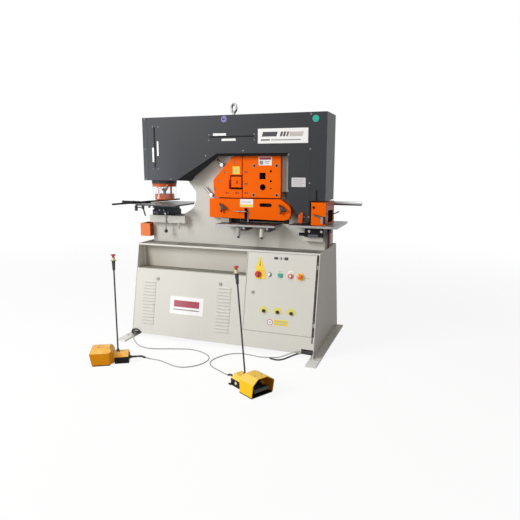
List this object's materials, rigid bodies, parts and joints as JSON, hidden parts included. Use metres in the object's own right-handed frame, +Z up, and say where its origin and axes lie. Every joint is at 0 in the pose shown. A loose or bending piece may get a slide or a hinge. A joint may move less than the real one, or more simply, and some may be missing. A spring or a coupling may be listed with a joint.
{
  "type": "hydraulic ironworker",
  "caption": "Free-standing hydraulic ironworker: punch with die table, angle, bar and flat shears, and a notcher on a sloped cabinet, with two cabled foot controls.",
  "frame": {"origin": "on the floor plane, at the middle of the four anchor holes in the foot plates", "axes": "+X along the machine from the punch to the notcher, +Y away from the operator, +Z up"},
  "size_m": [2.022, 1.6248, 1.888],
  "materials": {
    "grey_paint": "satin light grey enamel",
    "cover_paint": "semi-gloss anthracite enamel",
    "orange_paint": "gloss orange enamel",
    "bright_steel": "ground and turned",
    "tool_steel": "hardened, oiled",
    "black_steel": "black oxide",
    "blue_steel": "dark blue-grey enamel",
    "table_steel": "planed plate",
    "guard_clear": "clear polycarbonate",
    "pedal_yellow": "yellow-orange enamel",
    "black_plastic": "moulded, fine grain",
    "red_plastic": "moulded",
    "green_plastic": "moulded",
    "cable_grey": "grey sheathed cable",
    "parts_grey": "pump and motor grey"
  },
  "bodies": {
    "machine": {"base_cabinet": "grey_paint", "front_panel": "grey_paint", "power_pack": "parts_grey", "component_plate": "bright_steel", "frame": "grey_paint", "main_pin": "bright_steel", "wrap_cover": "cover_paint", "front_cover": "cover_paint", "lifting_eye": "bright_steel", "punch_cylinder": "grey_paint", "ram_housing": "black_steel", "guard_flange": "orange_paint", "punch_guard": "guard_clear", "stripper": "orange_paint", "punch_table": "table_steel", "die_holder": "blue_steel", "die": "tool_steel", "slug_bin": "orange_paint", "angle_plate": "orange_paint", "strip_plate": "orange_paint", "bar_plate": "orange_paint", "lower_plate": "orange_paint", "machine_bolts": "black_steel", "shear_table": "table_steel", "shear_cylinder": "grey_paint", "notch_table": "table_steel", "notch_block": "black_steel", "pedal_housings": "pedal_yellow", "pedal_rods": "black_steel", "cable_glands": "black_plastic", "cable_left": "cable_grey", "cable_right": "cable_grey"},
    "door": {"door": "grey_paint"},
    "door_lock": {"door_lock": "bright_steel"},
    "main_switch": {"main_switch": "red_plastic"},
    "start_button": {"start_button": "green_plastic"},
    "stop_button": {"stop_button": "red_plastic"},
    "door_estop": {"door_estop": "red_plastic"},
    "selector_left": {"selector_left": "black_plastic"},
    "selector_middle": {"selector_middle": "black_plastic"},
    "selector_right": {"selector_right": "black_plastic"},
    "ram": {"punch_ram": "bright_steel", "punch": "tool_steel"},
    "die_clamp": {"die_clamp_lever": "bright_steel"},
    "fence": {"fence_bar": "black_steel"},
    "fence_lever": {"fence_lever": "black_plastic"},
    "angle_holddown": {"angle_holddown": "orange_paint"},
    "flat_holddown": {"flat_holddown": "bright_steel"},
    "clamp_knob_left": {"clamp_knob_left": "black_plastic"},
    "clamp_knob_right": {"clamp_knob_right": "black_plastic"},
    "clamp_lever_upper": {"clamp_lever_upper": "bright_steel"},
    "clamp_lever_lower": {"clamp_lever_lower": "bright_steel"},
    "beam": {"shear_beam": "tool_steel"},
    "shear_rod": {"shear_rod": "bright_steel"},
    "notch_guard": {"notch_guard": "orange_paint"},
    "stop_bar": {"stop_bar": "bright_steel"},
    "treadle_left": {"treadle_left": "black_plastic"},
    "treadle_right": {"treadle_right": "black_plastic"},
    "rod_estop_left": {"rod_estop_left": "red_plastic"},
    "rod_estop_right": {"rod_estop_right": "red_plastic"}
  },
  "joints": [
    {"name": "door_hinge", "type": "hinge", "parent": "machine", "child": "door", "pos_m": [0.759, -0.38567, 0.16379], "axis": [0, 0.2014, 0.9795], "range_deg": [0, 95]},
    {"name": "door_lock_turn", "type": "hinge", "parent": "door", "child": "door_lock", "pos_m": [0.271, -0.33296, 0.45], "axis": [0, -0.9795, 0.2014], "range_deg": [0, 90]},
    {"name": "main_switch_turn", "type": "hinge", "parent": "door", "child": "main_switch", "pos_m": [0.304, -0.305, 0.586], "axis": [0, -0.9795, 0.2014], "range_deg": [0, 90]},
    {"name": "start_press", "type": "slide", "parent": "door", "child": "start_button", "axis": [0, 0.9795, -0.2014], "range_m": [0, 0.004], "stiffness_N_per_m": 400, "springref_m": -0.003},
    {"name": "stop_press", "type": "slide", "parent": "door", "child": "stop_button", "axis": [0, 0.9795, -0.2014], "range_m": [0, 0.004], "stiffness_N_per_m": 400, "springref_m": -0.003},
    {"name": "door_estop_press", "type": "slide", "parent": "door", "child": "door_estop", "axis": [0, 0.9795, -0.2014], "range_m": [0, 0.005], "stiffness_N_per_m": 600, "springref_m": -0.004},
    {"name": "selector_left_turn", "type": "hinge", "parent": "door", "child": "selector_left", "pos_m": [0.368, -0.35989, 0.319], "axis": [0, -0.9795, 0.2014], "range_deg": [-45, 45]},
    {"name": "selector_middle_turn", "type": "hinge", "parent": "door", "child": "selector_middle", "pos_m": [0.477, -0.35989, 0.319], "axis": [0, -0.9795, 0.2014], "range_deg": [-45, 45]},
    {"name": "selector_right_turn", "type": "hinge", "parent": "door", "child": "selector_right", "pos_m": [0.584, -0.35989, 0.319], "axis": [0, -0.9795, 0.2014], "range_deg": [-45, 45]},
    {"name": "punch_stroke", "type": "slide", "parent": "machine", "child": "ram", "axis": [0, 0, -1], "range_m": [0, 0.08]},
    {"name": "die_clamp_turn", "type": "hinge", "parent": "machine", "child": "die_clamp", "pos_m": [-0.596, -0.118, 1.001], "axis": [0, 1, 0], "range_deg": [-40, 40]},
    {"name": "fence_slide", "type": "slide", "parent": "machine", "child": "fence", "axis": [1, 0, 0], "range_m": [-0.15, 0]},
    {"name": "fence_lever_turn", "type": "hinge", "parent": "fence", "child": "fence_lever", "pos_m": [-0.83, -0.095, 1.045], "axis": [0, 0, 1], "range_deg": [-45, 45]},
    {"name": "angle_holddown_slide", "type": "slide", "parent": "machine", "child": "angle_holddown", "axis": [-0.7071, 0, -0.7071], "range_m": [0, 0.008]},
    {"name": "flat_holddown_screw", "type": "slide", "parent": "machine", "child": "flat_holddown", "axis": [0, 0, -1], "range_m": [0, 0.006]},
    {"name": "clamp_knob_left_turn", "type": "hinge", "parent": "machine", "child": "clamp_knob_left", "pos_m": [-0.067, -0.11, 1.07], "axis": [0, 1, 0], "range_deg": [-60, 60]},
    {"name": "clamp_knob_right_turn", "type": "hinge", "parent": "machine", "child": "clamp_knob_right", "pos_m": [0.433, -0.11, 1.07], "axis": [0, 1, 0], "range_deg": [-60, 60]},
    {"name": "clamp_lever_upper_turn", "type": "hinge", "parent": "machine", "child": "clamp_lever_upper", "pos_m": [-0.089, -0.07, 1.405], "axis": [0, 1, 0], "range_deg": [-40, 40]},
    {"name": "clamp_lever_lower_turn", "type": "hinge", "parent": "machine", "child": "clamp_lever_lower", "pos_m": [-0.186, -0.07, 1.165], "axis": [0, 1, 0], "range_deg": [-40, 40]},
    {"name": "beam_pivot", "type": "hinge", "parent": "machine", "child": "beam", "pos_m": [-0.25, 0, 1.075], "axis": [0, 1, 0], "range_deg": [0, 4.2]},
    {"name": "shear_rod_slide", "type": "slide", "parent": "machine", "child": "shear_rod", "axis": [0, 0, -1], "range_m": [0, 0.058]},
    {"name": "notch_guard_hinge", "type": "hinge", "parent": "machine", "child": "notch_guard", "pos_m": [0.77, 0.123, 1], "axis": [0, 0, 1], "range_deg": [0, 90]},
    {"name": "stop_bar_slide", "type": "slide", "parent": "machine", "child": "stop_bar", "axis": [1, 0, 0], "range_m": [0, 0.1]},
    {"name": "treadle_left_press", "type": "hinge", "parent": "machine", "child": "treadle_left", "pos_m": [-0.6257, -0.9565, 0.032], "axis": [0.5, -0.866, 0], "range_deg": [0, 7], "stiffness_Nm_per_rad": 4, "springref_deg": -8.59},
    {"name": "treadle_right_press", "type": "hinge", "parent": "machine", "child": "treadle_right", "pos_m": [0.54029, -1.03889, 0.032], "axis": [0.515, 0.8572, 0], "range_deg": [0, 7], "stiffness_Nm_per_rad": 4, "springref_deg": -8.59},
    {"name": "rod_estop_left_press", "type": "slide", "parent": "machine", "child": "rod_estop_left", "axis": [0, 0, -1], "range_m": [0, 0.0045], "stiffness_N_per_m": 600, "springref_m": -0.004},
    {"name": "rod_estop_right_press", "type": "slide", "parent": "machine", "child": "rod_estop_right", "axis": [0.0819, 0, -0.9966], "range_m": [0, 0.0045], "stiffness_N_per_m": 600, "springref_m": -0.004}
  ],
  "couplings": [
    {"joint": "shear_rod_slide", "follows": "beam_pivot", "m_per_rad": 0.776}
  ]
}
